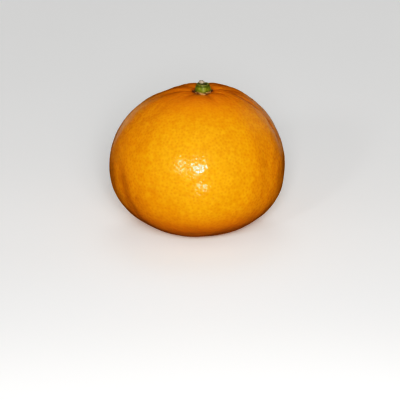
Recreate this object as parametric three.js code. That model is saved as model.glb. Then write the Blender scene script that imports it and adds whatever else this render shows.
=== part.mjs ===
// A ripe mandarin as clipped from the tree: the whole fruit, the green five-lobed calyx seated in
// the hollow of its crown, and the stub of stem that the clippers left on the calyx.
//
// Units are millimetres, +Z is up and the fruit stands on the flat spot of its base. A bearing is an
// angle round the stem's axis, counted from +X towards +Y, so -Y is the front of the fruit.
import * as THREE from "three";

// The fruit's body, plain: a crown and a base that meet at the girth.
const fruitWidth = 66;
const girthHeight = 25; // the widest ring, above the table
const crownRise = 31.3; // from the girth to where the crown would close if it had no hollow
const baseDrop = 26.1; // from the girth to where the base would close if it had no flat spot
const sectionPower = 1.85; // 2 in both powers is an ellipse; under 2 pulls the shoulders in
const crownPower = 2.04;
const basePower = 2.45;
const baseShift = 0.25; // the base swells this far towards +X
const navelRadius = 4.2; // the shallow dent round the scar of the style, inside the flat spot
const navelDepth = 0.9;

// The crown leans: its middle, where the stem stands, is off the body's axis, and it dips forward.
const crownShift = { x: 2.2, y: -1.6 };
const crownShiftPower = 3; // how much the shift gathers towards the top
const crownTip = 0.05; // slope of the dip

// The hollow that holds the calyx.
const hollowDepth = 2.3;
const hollowRadius = 5.5;

// The segments inside push the peel out a little: [waves round the girth, share of radius, bearing].
const bodyWaves = [
  [2, 0.004, 45],
  [3, 0.004, 30],
  [5, 0.003, 18],
];

// Furrows run down the crown from the hollow and fade out at their reach.
const furrows = [
  { bearing: 176, depth: 0.6, halfWidth: 11, reach: 22 },
  { bearing: 225, depth: 0.25, halfWidth: 10, reach: 15 },
  { bearing: 296, depth: 0.45, halfWidth: 10, reach: 18 },
  { bearing: 338, depth: 0.25, halfWidth: 9, reach: 15 },
  { bearing: 14, depth: 0.5, halfWidth: 10, reach: 20 },
  { bearing: 88, depth: 0.8, halfWidth: 12, reach: 26 },
  { bearing: 138, depth: 0.5, halfWidth: 22, reach: 30 },
];
const furrowStart = 2.5; // no furrow inside this radius, under the calyx

// Shallow grooves between segments, down the side from just over the girth to the flat spot.
const sideGrooves = [
  { bearing: 209, depth: 0.4, halfWidth: 6 },
  { bearing: 141, depth: 0.25, halfWidth: 7 },
  { bearing: 62, depth: 0.3, halfWidth: 7 },
];
const grooveTop = 6; // above the girth

// The calyx: a low cone on the skin, with a thin star of five lobes round its foot.
const starRadius = 3.95;
const starNotch = 0.3; // share of the radius lost between two lobes
const starThickness = 0.35;
const coneFootRadius = 3.15;
const coneTopRadius = 2.15;
const coneHeight = 2.6; // above the skin under it
const nub = { x: 1.6, y: 0.4, radius: 0.6, height: 0.4 }; // a green lump beside the stub
const lobeCount = 5;
const lobeBearing = 268;

// The stub: a short stalk, left of the calyx's middle, with a slanting cut.
const stubFootRadius = 1.3;
const stubRadius = 1.15;
const stubHeight = 1.05; // at the middle of the cut
const stubOffset = -0.4; // along X, from the calyx's middle
const cutSlope = { x: -0.2, y: 0.45 };

const coneTop = coneHeight * 1.15; // at its middle, above the skin under it
const gap = 0.3; // between pieces that touch
const fruitSectors = 72;
const hollowRings = 6;
const crownRings = 16;
const baseRings = 12;
const navelRings = 3;
const stemSectors = 40;

const girthRadius = fruitWidth / 2;
const radians = THREE.MathUtils.degToRad;
const { clamp, lerp } = THREE.MathUtils;

// The plain body's height over or under the girth, at a radius from its axis.
function superellipse(radius, rise, power) {
  const inside = Math.max(0, 1 - (radius / girthRadius) ** sectionPower);
  return rise * inside ** (1 / power);
}

const crownHeight = (radius) => girthHeight + superellipse(radius, crownRise, crownPower);
const baseHeight = (radius) => girthHeight - superellipse(radius, baseDrop, basePower);
const flatRadius = girthRadius * (1 - (girthHeight / baseDrop) ** basePower) ** (1 / sectionPower);

// Rings are spaced by this angle, which is 0 on the axis and a right angle at the girth.
const ringRadius = (angle) => girthRadius * Math.sin(angle) ** (2 / sectionPower);
const ringAngle = (radius) => Math.asin((radius / girthRadius) ** (sectionPower / 2));

// How deep a furrow or groove is at a bearing, before it fades along its length.
function depthAcross({ bearing: middle, depth, halfWidth }, bearing) {
  const turn = bearing - radians(middle);
  const across = Math.atan2(Math.sin(turn), Math.cos(turn)) / radians(halfWidth);
  return depth * Math.exp(-across * across);
}

function furrowDepth(radius, bearing) {
  let depth = 0;
  for (const furrow of furrows) {
    const along = clamp((radius - furrowStart) / (furrow.reach - furrowStart), 0, 1);
    const fade = Math.sin(Math.PI * along ** 0.6) ** 2;
    depth += fade * depthAcross(furrow, bearing);
  }
  return depth;
}

// The radius at a bearing and height, after the swell of the segments and the grooves between them.
function sideRadius(radius, bearing, height) {
  const share = clamp(height / (girthHeight + grooveTop), 0, 1);
  const fade = Math.sin(Math.PI * share ** 1.2);
  let depth = 0;
  for (const groove of sideGrooves) depth += fade * depthAcross(groove, bearing);
  return radius * bodyWave(bearing) - depth;
}

function bodyWave(bearing) {
  let wave = 1;
  for (const [count, share, phase] of bodyWaves) {
    wave += share * Math.cos(count * (bearing - radians(phase)));
  }
  return wave;
}

// Moves a point of the plain crown to its place: the hollow and furrows sink it, the lean shifts it.
function onCrown(radius, bearing, height) {
  const hollow = hollowDepth * Math.exp(-((radius / hollowRadius) ** 2));
  const share = superellipse(radius, 1, crownPower) ** crownShiftPower;
  const reach = sideRadius(radius, bearing, height);
  const x = reach * Math.cos(bearing) + crownShift.x * share;
  const y = reach * Math.sin(bearing) + crownShift.y * share;
  const sunk = height - hollow - furrowDepth(radius, bearing);
  return new THREE.Vector3(x, y, sunk + crownTip * y * share);
}

function onBase(radius, bearing, height) {
  const reach = sideRadius(radius, bearing, height);
  const share = height / girthHeight;
  const shift = baseShift * 6.75 * share * (1 - share) ** 2; // 6.75 makes its peak baseShift
  return new THREE.Vector3(reach * Math.cos(bearing) + shift, reach * Math.sin(bearing), height);
}

// A solid turned from a profile of [radius, height] pairs, listed from the underside to the top,
// and then moved point by point: place(radius, bearing, height) gives each vertex.
function turned(profile, sectors, place) {
  const points = profile.map(([radius, height]) => new THREE.Vector2(radius, height));
  const geometry = new THREE.LatheGeometry(points, sectors).rotateX(Math.PI / 2);
  const position = geometry.getAttribute("position");
  for (let i = 0; i < position.count; i++) {
    const x = position.getX(i);
    const y = position.getY(i);
    const moved = place(Math.hypot(x, y), Math.atan2(y, x), position.getZ(i));
    position.setXYZ(i, moved.x, moved.y, moved.z);
  }
  geometry.computeVertexNormals();
  return geometry;
}

function fruitProfile() {
  const profile = [];
  for (let i = 0; i <= navelRings; i++) {
    const share = i / navelRings;
    profile.push([navelRadius * share, (navelDepth * (1 + Math.cos(Math.PI * share))) / 2]);
  }
  profile.push([flatRadius, 0]);
  for (let i = 1; i <= baseRings; i++) {
    const radius = ringRadius(lerp(ringAngle(flatRadius), Math.PI / 2, i / baseRings));
    profile.push([radius, baseHeight(radius)]);
  }
  const hollowEdge = hollowRadius * 1.5;
  for (let i = 1; i <= crownRings; i++) {
    const radius = ringRadius(lerp(Math.PI / 2, ringAngle(hollowEdge), i / crownRings));
    profile.push([radius, crownHeight(radius)]);
  }
  for (let i = hollowRings - 1; i >= 0; i--) {
    const radius = (hollowEdge * i) / hollowRings;
    profile.push([radius, crownHeight(radius)]);
  }
  return profile;
}

function fruitGeometry() {
  return turned(fruitProfile(), fruitSectors, (radius, bearing, height) =>
    height > girthHeight ? onCrown(radius, bearing, height) : onBase(radius, bearing, height),
  );
}

// Between two lobes the star is cut back; inside the cone's top it is round.
function lobed(radius, bearing) {
  const turn = (lobeCount * (bearing - radians(lobeBearing))) / 2;
  const share = clamp((radius - coneTopRadius) / (starRadius - coneTopRadius), 0, 1);
  return radius * (1 - starNotch * Math.abs(Math.sin(turn)) * share);
}

// Heights here are above the skin under the calyx, after the gap.
function calyxGeometry() {
  const profile = [
    [0, 0],
    [1.1, 0],
    [coneTopRadius, 0],
    [coneFootRadius, 0],
    [starRadius, 0],
    [starRadius * 1.02, starThickness * 0.5],
    [starRadius, starThickness],
    [coneFootRadius * 1.04, starThickness * 1.4],
    [coneFootRadius * 0.97, coneHeight * 0.45],
    [coneFootRadius * 0.85, coneHeight * 0.8],
    [coneTopRadius, coneHeight],
    [coneTopRadius * 0.8, coneHeight * 1.06],
    [coneTopRadius * 0.55, coneHeight * 1.1],
    [coneTopRadius * 0.3, coneHeight * 1.13],
    [0, coneTop],
  ];
  return turned(profile, stemSectors, (radius, bearing, height) => {
    const reach = lobed(radius, bearing);
    const moved = onCrown(reach, bearing, crownHeight(reach) + gap + height);
    const nubX = (reach * Math.cos(bearing) - nub.x) / nub.radius;
    const nubY = (reach * Math.sin(bearing) - nub.y) / nub.radius;
    if (height > coneHeight / 2) moved.z += nub.height * Math.exp(-nubX * nubX - nubY * nubY);
    return moved;
  });
}

function stubGeometry() {
  const profile = [
    [0, 0],
    [stubFootRadius * 0.6, 0],
    [stubFootRadius * 0.95, 0],
    [stubFootRadius, stubHeight * 0.15],
    [stubRadius, stubHeight * 0.5],
    [stubRadius, stubHeight],
    [stubRadius * 0.5, stubHeight],
    [0, stubHeight],
  ];
  return turned(profile, stemSectors, (radius, bearing, height) => {
    const x = radius * Math.cos(bearing);
    const y = radius * Math.sin(bearing);
    const slant = height === stubHeight ? cutSlope.x * x + cutSlope.y * y : 0;
    return new THREE.Vector3(x, y, height + slant);
  });
}

function piece(name, geometry, color, roughness) {
  const material = new THREE.MeshStandardMaterial({ color, roughness, metalness: 0 });
  const mesh = new THREE.Mesh(geometry, material);
  mesh.name = name;
  return mesh;
}

const fruit = piece("fruit", fruitGeometry(), 0xf59a0c, 0.42);
const calyx = piece("calyx", calyxGeometry(), 0x7a861c, 0.55);
const stub = piece("stem_stub", stubGeometry(), 0xa1917a, 0.7);
const calyxTop = onCrown(0, 0, crownHeight(0) + gap + coneTop);
stub.position.set(calyxTop.x + stubOffset, calyxTop.y, calyxTop.z + gap);

// The origin is the middle of the whole object's box, on the table.
const mandarin = new THREE.Group();
mandarin.add(fruit, calyx, stub);
const middle = new THREE.Box3().setFromObject(mandarin).getCenter(new THREE.Vector3());
mandarin.position.set(-middle.x, -middle.y, 0);

export default mandarin;
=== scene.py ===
"""A ripe mandarin on a pale table: its rind, its calyx and the stub of its stem.

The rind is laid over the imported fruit, with an oil gland at each point of an even but unordered scatter.
Lengths are in metres, and MM turns millimetres into them. A bearing is an angle round a vertical axis in
degrees, counted from +X towards +Y, so the front of the fruit, at -Y, is at 270. Lines down the side are
given as (height in millimetres, bearing) pairs, lowest first.
"""

import math

import bmesh
import bpy
import numpy as np
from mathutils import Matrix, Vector, noise
from mathutils.bvhtree import BVHTree
from mathutils.kdtree import KDTree


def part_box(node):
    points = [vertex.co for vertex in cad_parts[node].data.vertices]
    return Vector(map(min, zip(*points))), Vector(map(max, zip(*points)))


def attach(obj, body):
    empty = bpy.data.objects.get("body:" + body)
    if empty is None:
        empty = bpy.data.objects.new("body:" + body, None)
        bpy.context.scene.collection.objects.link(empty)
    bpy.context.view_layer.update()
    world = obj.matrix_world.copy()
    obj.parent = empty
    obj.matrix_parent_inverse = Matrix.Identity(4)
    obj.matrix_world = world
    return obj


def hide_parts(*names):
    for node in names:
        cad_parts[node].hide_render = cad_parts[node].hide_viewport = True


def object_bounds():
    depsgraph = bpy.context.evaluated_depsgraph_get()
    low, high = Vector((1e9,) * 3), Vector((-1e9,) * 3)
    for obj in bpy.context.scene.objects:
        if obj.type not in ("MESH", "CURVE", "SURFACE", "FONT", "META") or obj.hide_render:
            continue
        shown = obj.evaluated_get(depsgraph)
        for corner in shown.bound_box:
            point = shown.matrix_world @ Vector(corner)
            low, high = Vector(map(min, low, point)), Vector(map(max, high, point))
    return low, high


MM = 0.001
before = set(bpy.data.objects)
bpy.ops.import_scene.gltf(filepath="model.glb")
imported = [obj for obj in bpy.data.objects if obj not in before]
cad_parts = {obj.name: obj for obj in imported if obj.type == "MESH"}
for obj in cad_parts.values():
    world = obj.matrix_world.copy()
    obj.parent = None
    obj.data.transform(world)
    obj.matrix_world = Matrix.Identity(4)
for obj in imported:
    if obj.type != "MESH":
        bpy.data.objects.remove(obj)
cad_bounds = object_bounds()
random = np.random.default_rng(66)


# ---------------------------------------------------------------- helpers


def mesh_object(name, mesh):
    piece = bpy.data.objects.new(name, mesh)
    bpy.context.scene.collection.objects.link(piece)
    return piece


def positions(mesh):
    flat = np.empty(len(mesh.vertices) * 3)
    mesh.vertices.foreach_get("co", flat)
    return flat.reshape(-1, 3)


def normals(mesh):
    flat = np.empty(len(mesh.vertices) * 3)
    mesh.vertices.foreach_get("normal", flat)
    return flat.reshape(-1, 3)


def move_to(mesh, points):
    mesh.vertices.foreach_set("co", points.ravel())
    mesh.update()


def paint(mesh, name, values):
    """Keeps one number for each vertex, for a material to read."""
    attribute = mesh.attributes.new(name, "FLOAT", "POINT")
    attribute.data.foreach_set("value", np.asarray(values, np.float32))


def shade_smooth(mesh):
    mesh.polygons.foreach_set("use_smooth", [True] * len(mesh.polygons))


def noise_at(points, size, seed=0.0):
    """Smooth noise from -1 to 1 whose lumps are about size across."""
    shift = Vector((seed, seed, seed))
    return np.array([noise.noise(Vector(point / size) + shift) for point in points])


def smoothstep(low, high, values):
    share = np.clip((values - low) / (high - low), 0, 1)
    return share * share * (3 - 2 * share)


def towards(bearing, elevation):
    """The unit vector along a bearing and an elevation, both in degrees."""
    turn = math.radians(bearing)
    rise = math.radians(elevation)
    return Vector((math.cos(turn) * math.cos(rise), math.sin(turn) * math.cos(rise), math.sin(rise)))


# ---------------------------------------------------------------- the rind


GLAND_COUNT = 6100
SCATTER_ROUNDS = 5
SPLITS = 3  # new points on each edge between two neighbouring glands
PIT_DEPTHS = (0.04, 0.1)  # least and greatest, in millimetres
PIT_WIDTHS = (0.38, 0.6)
GLAND_TINTS = (0.6, 1)  # how much the glands show through the rind
HEART = Vector((0, 0, 27 * MM))  # a point inside, from which every part of the skin can be seen
SKIN_RADIUS = 30 * MM  # about how far the skin is from it
FLOOR_AXIS = Vector()  # the vertical line through the middle of the flat spot
SEGMENTS = (  # where they press on the rind: width and lift in millimetres, line down the side
    (3, 0.2, ((6, 300), (18, 306), (30, 312), (50, 316))),
    (3.5, -0.28, ((6, 315), (30, 325), (50, 328))),
    (4, 0.2, ((4, 240), (30, 234), (50, 230))),
)
LEFT_CREASE = ((2, 226), (10, 222), (15, 219), (21, 214), (27, 211), (35, 209))
FOLD_VALLEY = ((16, -6), (38, 1), (46, 0), (56, 2), (70, 8))  # round the stem's axis, as the next
FOLD_CREASE = ((30, -3), (38, 1), (46, 0), (56, 2), (68, 8))
BLEMISHES = (  # bearing and elevation from the heart in degrees, size in millimetres, strength
    (243, -12, 9, 0.3),
    (241, -3, 1.6, 0.35),
    (231, -15, 2.4, 0.35),
    (227, -12, 1.3, 0.4),
    (330, -30, 2, 0.35),
    (22, 8, 2.6, 0.35),
    (70, -22, 1.5, 0.5),
    (98, 14, 3.5, 0.3),
    (141, -8, 1.8, 0.5),
    (186, 20, 2.4, 0.35),
    (200, -28, 1.4, 0.5),
)


def scattered_directions(count):
    """Unit vectors spread evenly but in no order, as glands are: a jittered spiral, pushed apart."""
    index = np.arange(count)
    height = 1 - (2 * index + 1) / count
    turn = index * math.pi * (3 - math.sqrt(5))
    ring = np.sqrt(1 - height * height)
    points = np.stack([ring * np.cos(turn), ring * np.sin(turn), height], axis=1)
    spacing = math.sqrt(4 * math.pi / count)
    points += random.normal(0, 0.5 * spacing, points.shape)
    for _ in range(SCATTER_ROUNDS):
        points /= np.linalg.norm(points, axis=1, keepdims=True)
        tree = KDTree(count)
        for number, point in enumerate(points):
            tree.insert(point, number)
        tree.balance()
        pushes = np.zeros_like(points)
        for number, point in enumerate(points):
            for _place, other, distance in tree.find_n(point, 7)[1:]:
                pushes[number] += (point - points[other]) * max(0, 1 - distance / spacing) / distance
        points += 0.25 * spacing * pushes
    return points / np.linalg.norm(points, axis=1, keepdims=True)


def smooth_skin():
    """A ray-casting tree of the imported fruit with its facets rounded."""
    form = mesh_object("skin_form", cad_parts["fruit"].data.copy())
    bm = bmesh.new()
    bm.from_mesh(form.data)
    bmesh.ops.remove_doubles(bm, verts=bm.verts, dist=0.001 * MM)
    bmesh.ops.join_triangles(bm, faces=bm.faces, angle_face_threshold=0.7, angle_shape_threshold=0.7)
    bm.to_mesh(form.data)
    bm.free()
    form.modifiers.new("rounded", "SUBSURF").levels = 3
    tree = BVHTree.FromObject(form, bpy.context.evaluated_depsgraph_get())
    bpy.data.objects.remove(form)
    return tree


def gland_mesh(skin):
    """The skin as a closed mesh, whose first GLAND_COUNT vertices are the glands."""
    bm = bmesh.new()
    for direction in scattered_directions(GLAND_COUNT):
        bm.verts.new(direction)
    bmesh.ops.convex_hull(bm, input=bm.verts)
    bmesh.ops.subdivide_edges(bm, edges=bm.edges, cuts=SPLITS, use_grid_fill=True)
    bmesh.ops.triangulate(bm, faces=bm.faces)
    for vertex in bm.verts:
        vertex.co = skin.ray_cast(HEART, vertex.co.normalized())[0]
    mesh = bpy.data.meshes.new("peel")
    bm.to_mesh(mesh)
    bm.free()
    shade_smooth(mesh)
    return mesh


def gland_relief(points):
    """How far the pits over the glands sink each point, and how dark the gland under it shows."""
    depth = MM * random.uniform(*PIT_DEPTHS, GLAND_COUNT)
    width = MM * random.uniform(*PIT_WIDTHS, GLAND_COUNT)
    tint = random.uniform(*GLAND_TINTS, GLAND_COUNT)
    tree = KDTree(GLAND_COUNT)
    for number in range(GLAND_COUNT):
        tree.insert(points[number], number)
    tree.balance()
    sink = np.zeros(len(points))
    shade = np.zeros(len(points))
    for number, point in enumerate(points):
        for _place, gland, distance in tree.find_n(point, 3):
            near = (distance / width[gland]) ** 2
            sink[number] += depth[gland] * math.exp(-near)
            shade[number] += tint[gland] * math.exp(-1.4 * near)
    return sink, np.minimum(shade, 1)


def stem_axis():
    """The middle of the calyx. Its Y is the stub's, because five lobes leave the calyx's box off centre."""
    low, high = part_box("calyx")
    stub_low, stub_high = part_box("stem_stub")
    return Vector((low.x + high.x, stub_low.y + stub_high.y, low.z + high.z)) / 2


def round_stem(points):
    """Each point's distance from the stem's axis, its bearing in radians, and whether it is on top."""
    axis = stem_axis()
    across = points[:, 0] - axis.x
    along = points[:, 1] - axis.y
    return np.hypot(across, along), np.arctan2(along, across), points[:, 2] > HEART.z


def in_front(bearing):
    return smoothstep(0.2, 0.9, -np.sin(bearing))


def crown_wrinkles(points):
    """Fine creases that run into the hollow of the crown, fainter in front."""
    radius, bearing, on_top = round_stem(points)
    window = on_top * smoothstep(2 * MM, 4 * MM, radius) * (1 - smoothstep(6 * MM, 13 * MM, radius))
    waver = 0.5 * noise_at(points, 6 * MM, 4.0)
    creases = np.abs(np.sin(7 * bearing + 2 * waver)) ** 0.6 - 0.6
    finer = np.sin(19 * bearing + 5 * waver)
    return MM * window * (1 - 0.75 * in_front(bearing)) * (0.1 * creases + 0.03 * finer)


def shoulder_streaks(points):
    """Low uneven streaks that run down from the crown, fainter in front."""
    radius, bearing, on_top = round_stem(points)
    window = on_top * smoothstep(6 * MM, 11 * MM, radius) * (1 - smoothstep(18 * MM, 27 * MM, radius))
    down_side = np.stack([14 * MM * np.cos(bearing), 14 * MM * np.sin(bearing), 0.3 * radius], axis=1)
    streaks = noise_at(down_side, 1.3 * MM, 5.5) + 0.5 * noise_at(down_side, 0.7 * MM, 17.5)
    return 0.07 * MM * window * (1 - 0.5 * in_front(bearing)) * streaks


def blemishes(points):
    """Faint dull patches and scuffs on the rind, with uneven edges."""
    seen_from_heart = points - np.array(HEART)
    seen_from_heart /= np.linalg.norm(seen_from_heart, axis=1, keepdims=True)
    uneven = 0.6 + 0.5 * noise_at(points, 1.2 * MM, 27.7)
    dull = np.zeros(len(points))
    for bearing, elevation, size, strength in BLEMISHES:
        middle = np.array(towards(bearing, elevation))
        distance = SKIN_RADIUS * np.arccos(np.clip(seen_from_heart @ middle, -1, 1))
        dull += strength * uneven * np.exp(-((distance / (size * MM)) ** 2))
    return np.clip(dull, 0, 1)


def off_line(points, axis, course):
    """How far each point is from a line down the side, and a share that fades towards the line's two ends.

    The line wanders a little, as a grown line does.
    """
    across = points[:, 0] - axis.x
    along = points[:, 1] - axis.y
    heights = [height * MM for height, _bearing in course]
    middle = np.interp(points[:, 2], heights, [math.radians(bearing) for _height, bearing in course])
    turn = (np.arctan2(along, across) - middle + math.pi) % (2 * math.pi) - math.pi
    wander = 0.9 * MM * noise_at(points, 7 * MM, 21.3) + 0.3 * MM * noise_at(points, 2 * MM, 8.8)
    fade = 0.3 * (heights[-1] - heights[0])
    share = smoothstep(heights[0], heights[0] + fade, points[:, 2])
    share *= 1 - smoothstep(heights[-1] - fade, heights[-1], points[:, 2])
    return turn * np.hypot(across, along) + wander, share


def groove(points, axis, course, width):
    """1 along the middle of a groove down the side, 0 off it."""
    distance, share = off_line(points, axis, course)
    return share * np.exp(-((distance / width) ** 2))


def segment_form(points):
    """Low ridges and shallow valleys, where the segments inside press on the rind."""
    form = np.zeros(len(points))
    for width, lift, course in SEGMENTS:
        form += lift * MM * groove(points, FLOOR_AXIS, course, width * MM)
    return form


def crown_fold(points):
    """The fold down the right of the crown: its valley, the crease in that, ripples, and the share of
    painted shade on its far flank, which turns away from the light.
    """
    axis = stem_axis()
    radius, _bearing, _on_top = round_stem(points)
    clear_of_stem = smoothstep(7 * MM, 17 * MM, radius)
    valley = clear_of_stem * groove(points, axis, FOLD_VALLEY, 4 * MM)
    distance, share = off_line(points, axis, FOLD_CREASE)
    share *= clear_of_stem
    patchy = smoothstep(-0.7, 0.3, noise_at(points, 3.5 * MM, 9.4))
    crease = share * (0.3 + 0.7 * patchy) * np.exp(-((distance / (0.9 * MM)) ** 2))
    beside = share * np.exp(-((distance / (3.5 * MM) + 0.5) ** 2))
    waver = 4 * noise_at(points, 3.5 * MM, 14.0)
    ripples = beside * np.sin(2 * math.pi * distance / (1.5 * MM) + waver)
    far_flank_shade = share * np.exp(-((distance / (2.4 * MM) - 0.8) ** 2))
    return valley, crease, ripples, far_flank_shade


def blossom_scar(points):
    """1 on the small scar where the blossom sat, in the middle of the flat spot, and 0 off it."""
    beside = np.hypot(points[:, 0], points[:, 1]) + 0.25 * MM * noise_at(points, 0.9 * MM)
    return (points[:, 2] < HEART.z) * (1 - smoothstep(1.1 * MM, 1.7 * MM, beside))


def paint_rind(mesh, points):
    """The marks painted on the rind: deeper orange towards the crown and the bottom, partly its own redder
    tone and partly painted shade where little light reaches; painted shade round the stem; and blemishes.
    """
    from_stem = np.linalg.norm(points - np.array(stem_axis()), axis=1)
    # deeper, redder orange towards the crown and the bottom: partly the rind's own tone, partly painted
    # shade
    crown = 1 - smoothstep(6 * MM, 26 * MM, from_stem)
    base = 1 - smoothstep(4 * MM, 17 * MM, points[:, 2])
    paint(mesh, "redness_and_shade", np.maximum(0.8 * crown, base))
    # painted shade in the hollow round the calyx
    radius, _bearing, on_top = round_stem(points)
    beside = radius + 0.6 * MM * noise_at(points, 2 * MM, 6.0)
    paint(mesh, "shaded", on_top * (1 - smoothstep(3.6 * MM, 5.4 * MM, beside)))
    paint(mesh, "dull", blemishes(points))


def build_peel():
    mesh = gland_mesh(smooth_skin())
    points = positions(mesh)
    outward = normals(mesh)
    sink, shade = gland_relief(points)
    swell = 0.2 * MM * noise_at(points, 8 * MM, 11.9) + 0.1 * MM * noise_at(points, 4 * MM, 32.1)
    valley, crease, ripples, far_flank_shade = crown_fold(points)
    left_crease = groove(points, FLOOR_AXIS, LEFT_CREASE, 3 * MM)
    scar = blossom_scar(points)
    lift = swell - sink + crown_wrinkles(points) + shoulder_streaks(points) + segment_form(points)
    lift -= MM * (0.3 * valley + 0.34 * crease - 0.045 * ripples + 0.2 * left_crease)
    lift += 0.25 * MM * scar * (0.6 + 0.4 * noise_at(points, 0.5 * MM, 3.0))
    points += outward * lift[:, None]
    points[:, 2] = np.maximum(points[:, 2], cad_bounds[0].z)
    move_to(mesh, points)
    paint(mesh, "gland", shade)
    paint(mesh, "scar", scar)
    # painted shade: darker along the creases, in the left groove and on the fold's far flank
    paint(mesh, "crease", np.maximum(np.maximum(crease, 0.5 * far_flank_shade), 0.45 * left_crease))
    paint_rind(mesh, points)
    peel = mesh_object("peel", mesh)
    peel.data.materials.append(peel_material())
    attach(peel, "root")
    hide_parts("fruit")
    return peel


# ---------------------------------------------------------------- calyx and stub


LOBE_BEARINGS = (278, 354, 62, 125, 191)
LOBE_LENGTHS = (0.28, 0.06, -0.03, 0.05, 0.08)  # past the usual, as a share of it
LOBE_BURNT_AND_SHADE = (0.1, 1, 0.4, 0.6, 1)  # how dark the dry tips are: their own dry brown, and painted shade on the lobes at the sides
CALYX_SECTORS = 150
CALYX_STEP = 0.08 * MM  # between the rings of its mesh
STUB_SECTORS = 90
STUB_STEP = 0.07 * MM


def turned(name, profile, sectors, place):
    """A closed mesh turned from a profile of (radius, height), from the axis below to the axis above."""
    rings = len(profile) - 2
    verts = [place(0, 0, profile[0][1])]
    for radius, height in profile[1:-1]:
        for sector in range(sectors):
            verts.append(place(radius, 2 * math.pi * sector / sectors, height))
    verts.append(place(0, 0, profile[-1][1]))
    faces = []
    for sector in range(sectors):
        following = (sector + 1) % sectors
        faces.append((0, 1 + following, 1 + sector))
        for ring in range(rings - 1):
            start = 1 + ring * sectors
            above = start + sectors
            faces.append((start + sector, start + following, above + following, above + sector))
        last = 1 + (rings - 1) * sectors
        faces.append((last + sector, last + following, len(verts) - 1))
    mesh = bpy.data.meshes.new(name)
    mesh.from_pydata(verts, [], faces)
    shade_smooth(mesh)
    return mesh


def rings_of(count, sectors):
    """Which point of its profile each vertex of a turned mesh comes from."""
    return np.repeat(np.arange(count), [1] + [sectors] * (count - 2) + [1])


def refined(corners, step):
    """A profile's corner points, joined by a smooth curve and with points about step apart."""
    fine = [corners[0]]
    for index in range(len(corners) - 1):
        before = Vector(corners[max(index - 1, 0)])
        start = Vector(corners[index])
        end = Vector(corners[index + 1])
        after = Vector(corners[min(index + 2, len(corners) - 1)])
        count = max(1, round((end - start).length / step))
        for number in range(1, count + 1):
            t = number / count
            turning = (end - before) * (1 - t) - (after - start) * t - (end - start) * (1 - 2 * t)
            fine.append(tuple(start.lerp(end, t) + 0.5 * t * (1 - t) * turning))
    return fine


def lobe_at(bearing):
    """The lobe nearest to a bearing, and how far off it is: 0 along its middle, 1 between two lobes."""
    offsets = [abs((math.degrees(bearing) - middle + 180) % 360 - 180) for middle in LOBE_BEARINGS]
    nearest, following = sorted(offsets)[:2]
    return offsets.index(nearest), math.sin(math.pi * nearest / (nearest + following))


def lump(x, y, radius):
    """1 at a point of the calyx given from the stem's axis, fading out round it."""
    return math.exp(-(x * x + y * y) / (radius * radius))


def calyx_profile(tip, foot, rim, rise):
    """The outline of the dry star, and that of the green cone on it."""
    sunk = -0.1 * MM  # a little way into the rind, so that no gap shows
    star_top = 0.46 * MM
    star = [
        (0, sunk),
        (0.5 * tip, sunk),
        (0.95 * tip, sunk),
        (tip, 0.1 * MM),
        (0.99 * tip, 0.36 * MM),
        (0.93 * tip, star_top),
        (foot, star_top),
    ]
    cone = [
        (foot, star_top),
        (0.775 * tip, 0.25 * rise),
        (0.77 * tip, 0.36 * rise),
        (0.75 * tip, 0.5 * rise),
        (0.72 * tip, 0.64 * rise),
        (0.675 * tip, 0.74 * rise),
        (0.65 * tip, 0.8 * rise),
        (0.64 * tip, 0.88 * rise),
        (rim, 0.95 * rise),
        (0.9 * rim, 0.96 * rise),
        (0.72 * rim, 0.9 * rise),
        (0.4 * rim, 0.84 * rise),
        (0, 0.84 * rise),
    ]
    return refined(star, CALYX_STEP), refined(cone, CALYX_STEP)[1:]


def star_reach(bearing):
    """How far the dry star reaches at a bearing, as a share of its usual reach."""
    lobe, turn = lobe_at(bearing)
    ragged = 0.08 * noise.noise(Vector((4 * math.cos(bearing), 4 * math.sin(bearing), 1.3)))
    return 1 - 0.17 * turn ** 0.8 + LOBE_LENGTHS[lobe] * (1 - turn) ** 1.5 + ragged


def cone_swell(bearing, level):
    """How wide the green cone is at a bearing and a level from 0 to 1, as a share of its usual width."""
    _lobe, turn = lobe_at(bearing)
    strands = noise.noise(Vector((3.5 * math.cos(bearing), 3.5 * math.sin(bearing), level)))
    return 1 + 0.1 * (0.45 - turn) * (1 - 0.7 * level) + 0.05 * strands


def paint_calyx(mesh, star_rings, cone_rings, ground, rise):
    axis = stem_axis()
    points = positions(mesh)
    ring = rings_of(star_rings + cone_rings, CALYX_SECTORS)
    lobes = [lobe_at(bearing) for bearing in np.arctan2(points[:, 1] - axis.y, points[:, 0] - axis.x)]
    turns = np.array([turn for _lobe, turn in lobes])
    burnt_and_shade = np.array([LOBE_BURNT_AND_SHADE[lobe] for lobe, _turn in lobes])
    uneven = ring + 2.5 * noise_at(points, 0.6 * MM)
    paint(mesh, "dry", 1 - smoothstep(star_rings - 1, star_rings + 3, uneven))
    # dry brown tips, with painted shade on the side lobes
    paint(mesh, "burnt_and_shade", burnt_and_shade * (1 - turns))
    paint(mesh, "rise", np.clip((points[:, 2] - ground) / rise, 0, 1))
    # painted highlight along the middle of each lobe's rib
    paint(mesh, "rib_highlight", 1 - turns)


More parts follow.
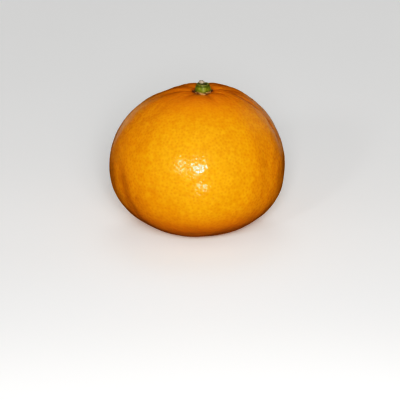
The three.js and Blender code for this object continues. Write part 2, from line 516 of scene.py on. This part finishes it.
def build_calyx(peel):
    axis = stem_axis()
    low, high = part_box("calyx")
    tip = (high.x - low.x) / 2
    foot = 0.76 * tip
    rim = 0.61 * tip
    surface = BVHTree.FromObject(peel, bpy.context.evaluated_depsgraph_get())

    def skin_height(x, y):
        return surface.ray_cast(Vector((x, y, 2 * high.z)), Vector((0, 0, -1)))[0].z

    ground = skin_height(axis.x, axis.y)
    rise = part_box("stem_stub")[0].z - ground

    def finish_rim(point, x, y, radius):
        """Raises the rim's one high corner and makes the rest of it uneven."""
        edge = smoothstep(0.5 * rim, rim, radius)
        point.z += 0.45 * MM * edge * lump(x - 1.75 * MM, y + 0.3 * MM, 0.75 * MM)
        point.z += 0.3 * MM * edge * noise.noise(point / (0.9 * MM))

    def finish_star(point, bearing, in_star):
        """Curls the dry lobes, the browner ones the most."""
        lobe, turn = lobe_at(bearing)
        curl = noise.noise(point / (1.6 * MM) + Vector((5, 0, 0)))
        point.z += MM * in_star * (0.03 + 0.15 * curl + 0.3 * LOBE_BURNT_AND_SHADE[lobe] * (1 - turn))

    def place(radius, bearing, height):
        in_star = smoothstep(0.8 * tip, tip, radius)
        in_cone = smoothstep(0.5 * rim, foot, radius) * (1 - in_star)
        out_star = in_star * (star_reach(bearing) - 1)
        out_cone = in_cone * (cone_swell(bearing, height / rise) - 1)
        reach = radius * (1 + out_star + out_cone)
        x = reach * math.cos(bearing)
        y = reach * math.sin(bearing)
        level = smoothstep(foot, rim, radius) if height > 0 else 0
        base = skin_height(axis.x + x, axis.y + y) * (1 - level) + ground * level
        point = Vector((axis.x + x, axis.y + y, base + height))
        if height > 0.7 * rise:
            finish_rim(point, x, y, radius)
        elif height > 0:
            finish_star(point, bearing, in_star)
        rough = 0.06 * MM * noise.noise(point / (0.6 * MM)) + 0.03 * MM * noise.noise(point / (0.25 * MM))
        return point + rough * Vector((math.cos(bearing), math.sin(bearing), 1))

    star, cone = calyx_profile(tip, foot, rim, rise)
    mesh = turned("calyx_star", star + cone, CALYX_SECTORS, place)
    paint_calyx(mesh, len(star), len(cone), ground, rise)
    calyx = mesh_object("calyx_star", mesh)
    calyx.data.materials.append(calyx_material())
    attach(calyx, "root")
    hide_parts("calyx")


def build_stub():
    low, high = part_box("stem_stub")
    axis = (low + high) / 2
    radius_out = (high.x - low.x) / 2
    foot = low.z - 0.45 * MM  # it is rooted in the calyx
    top = axis.z - 0.35 * MM  # of the slanted cut, at its middle
    bark = [
        (0, foot),
        (1.05 * radius_out, foot),
        (radius_out, foot + 0.5 * MM),
        (0.9 * radius_out, foot + 0.8 * MM),
        (0.9 * radius_out, top),
    ]
    cut_face = [(0.9 * radius_out, top), (0.8 * radius_out, top + 0.06 * MM), (0, top)]

    def place(radius, bearing, height):
        fibre = 1 + 0.05 * noise.noise(Vector((2.2 * math.cos(bearing), 2.2 * math.sin(bearing), 7)))
        fibre += 0.03 * noise.noise(Vector((9 * math.cos(bearing), 9 * math.sin(bearing), 3)))
        x = radius * fibre * math.cos(bearing)
        y = radius * fibre * math.sin(bearing)
        cut = smoothstep(foot + 0.7 * MM, top, height)
        z = height + cut * (-0.18 * x + 0.5 * y)
        z += 0.1 * MM * cut * noise.noise(Vector((x, y, 0)) / (0.5 * MM))
        return Vector((axis.x + x, axis.y + y, z))

    side = refined(bark, STUB_STEP)
    cap = refined(cut_face, STUB_STEP)[1:]
    mesh = turned("stem_cut", side + cap, STUB_SECTORS, place)
    points = positions(mesh)
    radius = np.hypot(points[:, 0] - axis.x, points[:, 1] - axis.y)
    ring = rings_of(len(side + cap), STUB_SECTORS)
    paint(mesh, "cut", smoothstep(len(side) - 4, len(side) - 2, ring))
    paint(mesh, "core", np.clip(radius / radius_out, 0, 1))
    stub = mesh_object("stem_cut", mesh)
    stub.data.materials.append(stub_material())
    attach(stub, "root")
    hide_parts("stem_stub")


# ---------------------------------------------------------------- materials


class Nodes:
    """A node tree, with a short call for each kind of node used here."""

    def __init__(self, tree):
        self.tree = tree

    def node(self, kind, **settings):
        made = self.tree.nodes.new(kind)
        for name, value in settings.items():
            setattr(made, name, value)
        return made

    def give(self, socket, value):
        if isinstance(value, bpy.types.NodeSocket):
            self.tree.links.new(value, socket)
        else:
            socket.default_value = value

    def ramp(self, value, low, high, to_low=0.0, to_high=1.0):
        made = self.node("ShaderNodeMapRange", interpolation_type="SMOOTHSTEP")
        self.give(made.inputs["Value"], value)
        for name, number in zip(("From Min", "From Max", "To Min", "To Max"), (low, high, to_low, to_high)):
            made.inputs[name].default_value = number
        return made.outputs["Result"]

    def math(self, operation, first, second):
        made = self.node("ShaderNodeMath", operation=operation)
        self.give(made.inputs[0], first)
        self.give(made.inputs[1], second)
        return made.outputs["Value"]


class Shader(Nodes):
    """The nodes of a new material."""

    def __init__(self, name):
        self.material = bpy.data.materials.new(name)
        self.material.use_nodes = True
        super().__init__(self.material.node_tree)
        self.surface = self.tree.nodes["Principled BSDF"]
        self.place = self.node("ShaderNodeTexCoord").outputs["Object"]

    def attribute(self, name):
        return self.node("ShaderNodeAttribute", attribute_name=name).outputs["Fac"]

    def lumps(self, size, detail=2.0):
        """Noise about 0.5, with lumps about size across."""
        made = self.node("ShaderNodeTexNoise")
        self.give(made.inputs["Vector"], self.place)
        made.inputs["Scale"].default_value = 1 / size
        made.inputs["Detail"].default_value = detail
        return made.outputs["Fac"]

    def mix(self, share, first, second):
        made = self.node("ShaderNodeMixRGB")
        self.give(made.inputs["Fac"], share)
        self.give(made.inputs["Color1"], first)
        self.give(made.inputs["Color2"], second)
        return made.outputs["Color"]

    def mottled(self, size, first, second, low=0.3, high=0.7, detail=2.0):
        """One colour that turns into another in patches about size across."""
        return self.mix(self.ramp(self.lumps(size, detail), low, high), first, second)

    def bump(self, height, distance, strength):
        made = self.node("ShaderNodeBump")
        self.give(made.inputs["Height"], height)
        made.inputs["Distance"].default_value = distance
        made.inputs["Strength"].default_value = strength
        self.give(self.surface.inputs["Normal"], made.outputs["Normal"])

    def finished(self, colour, roughness):
        self.give(self.surface.inputs["Base Color"], colour)
        self.give(self.surface.inputs["Roughness"], roughness)
        return self.material


def peel_material():
    shader = Shader("mandarin_peel")
    gland = shader.math("MULTIPLY", shader.attribute("gland"), 0.7)
    shaded = shader.math("MULTIPLY", shader.attribute("shaded"), 0.75)
    crease = shader.math("MULTIPLY", shader.attribute("crease"), 0.8)
    between_glands = shader.ramp(shader.lumps(1.6 * MM), 0.35, 0.65, 0, 0.6)
    colour = shader.mottled(9 * MM, (0.8, 0.293, 0.004, 1), (0.86, 0.313, 0.005, 1))
    colour = shader.mix(between_glands, colour, (0.94, 0.375, 0.014, 1))
    colour = shader.mix(gland, colour, (0.66, 0.2, 0.003, 1))
    # deeper orange at the crown and the bottom: partly the rind's own tone, partly painted shade
    colour = shader.mix(shader.attribute("redness_and_shade"), colour, (0.74, 0.22, 0.002, 1))
    # painted shade round the calyx
    colour = shader.mix(shaded, colour, (0.38, 0.11, 0.004, 1))
    # painted shade in the creases, the left groove and on the fold's far flank
    colour = shader.mix(crease, colour, (0.4, 0.1, 0.003, 1))
    colour = shader.mix(shader.attribute("dull"), colour, (0.5, 0.15, 0.004, 1))
    colour = shader.mix(shader.attribute("scar"), colour, (0.3, 0.16, 0.06, 1))
    shader.bump(shader.lumps(0.35 * MM, 3), 0.02 * MM, 0.3)
    surface = shader.surface
    surface.inputs["IOR"].default_value = 1.4
    surface.inputs["Subsurface Weight"].default_value = 0.1
    surface.inputs["Subsurface Radius"].default_value = (1, 0.35, 0.08)
    surface.inputs["Subsurface Scale"].default_value = 1.2 * MM
    return shader.finished(colour, shader.ramp(shader.lumps(2 * MM), 0.3, 0.7, 0.16, 0.23))


def calyx_material():
    """Green, with a painted highlight that makes it lighter and yellower along its ribs, and paler round its
    rim, on a dry star of brown and tan whose side tips are darkened with painted shade.
    """
    shader = Shader("calyx_green")
    dry = shader.attribute("dry")
    rise = shader.attribute("rise")
    rib_highlight = shader.ramp(shader.attribute("rib_highlight"), 0.4, 1, 0, 0.75)
    green = shader.mottled(0.9 * MM, (0.12, 0.155, 0.005, 1), (0.21, 0.22, 0.018, 1), 0.35, 0.65)
    # painted highlight along the ribs
    green = shader.mix(rib_highlight, green, (0.27, 0.27, 0.055, 1))
    green = shader.mix(shader.ramp(rise, 0.66, 0.8), green, (0.09, 0.105, 0.004, 1))
    green = shader.mix(shader.ramp(rise, 0.86, 0.97), green, (0.2, 0.19, 0.045, 1))
    green = shader.mix(shader.ramp(rise, 0.3, 0.2, 0, 0.6), green, (0.12, 0.1, 0.004, 1))
    tan = shader.mottled(1.1 * MM, (0.2, 0.09, 0.025, 1), (0.6, 0.38, 0.17, 1), 0.4, 0.6)
    # painted shade darkens the side lobes' tips, on top of their own dry brown
    tan = shader.mix(shader.attribute("burnt_and_shade"), tan, (0.075, 0.03, 0.004, 1))
    shader.bump(shader.lumps(0.25 * MM, 3), 0.04 * MM, 0.6)
    return shader.finished(shader.mix(dry, green, tan), shader.ramp(dry, 0, 1, 0.5, 0.75))


def stub_material():
    """Dull green bark, and pale wood with a paler pith where it is cut."""
    shader = Shader("stem_wood")
    cut = shader.attribute("cut")
    pith = shader.ramp(shader.attribute("core"), 0, 0.3, 0.5, 0)
    wood = shader.mottled(0.3 * MM, (0.42, 0.32, 0.22, 1), (0.62, 0.52, 0.4, 1), detail=3)
    wood = shader.mix(pith, wood, (0.66, 0.57, 0.45, 1))
    bark = shader.mottled(0.5 * MM, (0.06, 0.06, 0.008, 1), (0.12, 0.11, 0.03, 1), 0.35, 0.65, 3)
    shader.bump(shader.lumps(0.2 * MM, 3), 0.04 * MM, 0.7)
    return shader.finished(shader.mix(cut, bark, wood), shader.ramp(cut, 0, 1, 0.6, 0.8))


def floor_material():
    """A plain pale table that glows a little, so that it stays pale where few lamps reach."""
    shader = Shader("pale_table")
    colour = shader.mottled(0.25, (0.92, 0.91, 0.89, 1), (0.95, 0.94, 0.92, 1))
    shader.give(shader.surface.inputs["Emission Color"], colour)
    shader.surface.inputs["Emission Strength"].default_value = 0.15
    return shader.finished(colour, 0.7)


# ---------------------------------------------------------------- studio


TOWARDS_CAMERA = towards(270, 19)
VIEW_DISTANCE = 1.6
VIEW_WIDTH = 0.1505  # of what the camera sees, at the fruit
AIM = Vector((1.1 * MM, 0, 11 * MM))  # what the camera looks at
FILM_SPEED = 3.6
FILM_CONTRAST = 1.6
FILM_LIGHTS = (0.02, 0.05, 0.1, 0.2, 0.35, 0.5, 0.7, 1, 1.5, 2.2)  # where its curve is drawn
FILM_WHITE = 4  # the light from which all is white


def aimed(thing, target):
    thing.rotation_euler = (target - thing.location).to_track_quat("-Z", "Y").to_euler()


def build_camera():
    data = bpy.data.cameras.new("camera")
    data.lens = data.sensor_width * VIEW_DISTANCE / VIEW_WIDTH
    data.clip_start = 0.05
    camera = mesh_object("camera", data)
    camera.location = AIM + VIEW_DISTANCE * TOWARDS_CAMERA
    aimed(camera, AIM)
    bpy.context.scene.camera = camera


def softbox(name, bearing, elevation, distance, size, power, mirrored=False):
    """A square lamp turned to the fruit. The rind mirrors it only where that is asked for."""
    data = bpy.data.lights.new(name, "AREA")
    data.size = size
    data.energy = power
    lamp = mesh_object(name, data)
    lamp.location = HEART + distance * towards(bearing, elevation)
    lamp.visible_camera = False
    lamp.visible_glossy = mirrored
    aimed(lamp, HEART)


class Room(Nodes):
    """The nodes of the world, whose brightness depends on the direction alone."""

    def __init__(self, world):
        super().__init__(world.node_tree)
        self.direction = self.node("ShaderNodeTexCoord").outputs["Generated"]
        split = self.node("ShaderNodeSeparateXYZ")
        self.give(split.inputs["Vector"], self.direction)
        self.sideways = split.outputs["X"]
        self.backwards = split.outputs["Y"]
        self.upwards = split.outputs["Z"]

    def band(self, value, start, full, fading, gone):
        return self.math("SUBTRACT", self.ramp(value, start, full), self.ramp(value, fading, gone))

    def panel(self, across, width, height, brightness):
        """A soft-edged panel. Its width and height each say where it starts, is full, fades and is gone."""
        shape = self.math("MULTIPLY", self.band(across, *width), self.band(self.upwards, *height))
        return self.math("MULTIPLY", shape, brightness)

    def panels_behind(self):
        """Panels behind the fruit on each side, for a faint sheen on its edges."""
        either_side = self.math("ABSOLUTE", self.sideways, 0)
        low = self.panel(either_side, (0.15, 0.35, 0.42, 0.65), (-0.28, -0.1, 0.05, 0.32), 0.35)
        high = self.panel(self.sideways, (0.35, 0.6, 0.75, 0.95), (0, 0.25, 0.5, 0.75), 0.25)
        return self.math("MULTIPLY", self.ramp(self.backwards, 0, 0.4), self.math("ADD", low, high))

    def glow_in_front(self):
        """A broad glow round the direction of the camera, for a haze round the highlights."""
        facing = self.node("ShaderNodeVectorMath", operation="DOT_PRODUCT")
        self.give(facing.inputs[0], self.direction)
        self.give(facing.inputs[1], TOWARDS_CAMERA)
        return self.ramp(facing.outputs["Value"], 0.25, 0.97, 0, 0.34)

    def dim_walls(self):
        """Faint light from all round, with a little more from overhead and from straight below."""
        overhead = self.ramp(self.upwards, 0.2, 1, 0, 0.08)
        below = self.ramp(self.upwards, -1, -0.4, 0.04, 0.004)
        return self.math("ADD", overhead, below)


def studio_world():
    """A dim room that the rind mirrors."""
    world = bpy.data.worlds.new("studio")
    world.use_nodes = True
    room = Room(world)
    light = room.math("ADD", room.dim_walls(), room.glow_in_front())
    background = room.tree.nodes["Background"]
    background.inputs["Color"].default_value = (0.93, 0.96, 1, 1)
    room.give(background.inputs["Strength"], room.math("ADD", room.panels_behind(), light))
    return world


def build_floor():
    """The table. It takes light and shadow, but throws none back on the fruit."""
    bm = bmesh.new()
    bmesh.ops.create_grid(bm, x_segments=8, y_segments=8, size=4)
    mesh = bpy.data.meshes.new("table")
    bm.to_mesh(mesh)
    bm.free()
    table = mesh_object("table", mesh)
    table.data.materials.append(floor_material())
    table.visible_diffuse = False
    table.visible_glossy = False
    table.visible_shadow = False


def film_response(view):
    """A soft shoulder and a little contrast, as film has: bright orange turns golden instead of clipping."""
    view.view_transform = "Standard"
    view.use_curve_mapping = True
    view.curve_mapping.clip_max_x = FILM_WHITE
    all_colours = view.curve_mapping.curves[3]
    for light in FILM_LIGHTS:
        all_colours.points.new(light, 1 - math.exp(-FILM_SPEED * light ** FILM_CONTRAST))
    all_colours.points[-1].location = (FILM_WHITE, 1)
    view.curve_mapping.update()


def build_studio():
    """A flash at the camera and a key beside it, with soft lamps behind, above and below for the edges."""
    build_floor()
    scene = bpy.context.scene
    scene.world = studio_world()
    softbox("key", 274, 24, 0.5, 0.11, 0.68)
    softbox("flash", 270.5, 19.5, 0.5, 0.046, 0.74, mirrored=True)
    softbox("side_lamp", 248, 22, 1.6, 0.14, 2.4, mirrored=True)
    softbox("low_lamp", 277, -12, 1.6, 0.12, 2.8, mirrored=True)
    softbox("left_back", 138, -1, 1.6, 0.8, 5.2)
    softbox("right_back", 42, -1, 1.6, 0.8, 4.9)
    softbox("back", 90, -5, 1.6, 0.8, 6)
    softbox("overhead", 90, 58, 1.6, 0.8, 2.5)
    softbox("bounce", 270, -62, 1, 0.5, 0.95)
    film_response(scene.view_settings)


build_camera()
build_studio()
rind = build_peel()
build_calyx(rind)
build_stub()
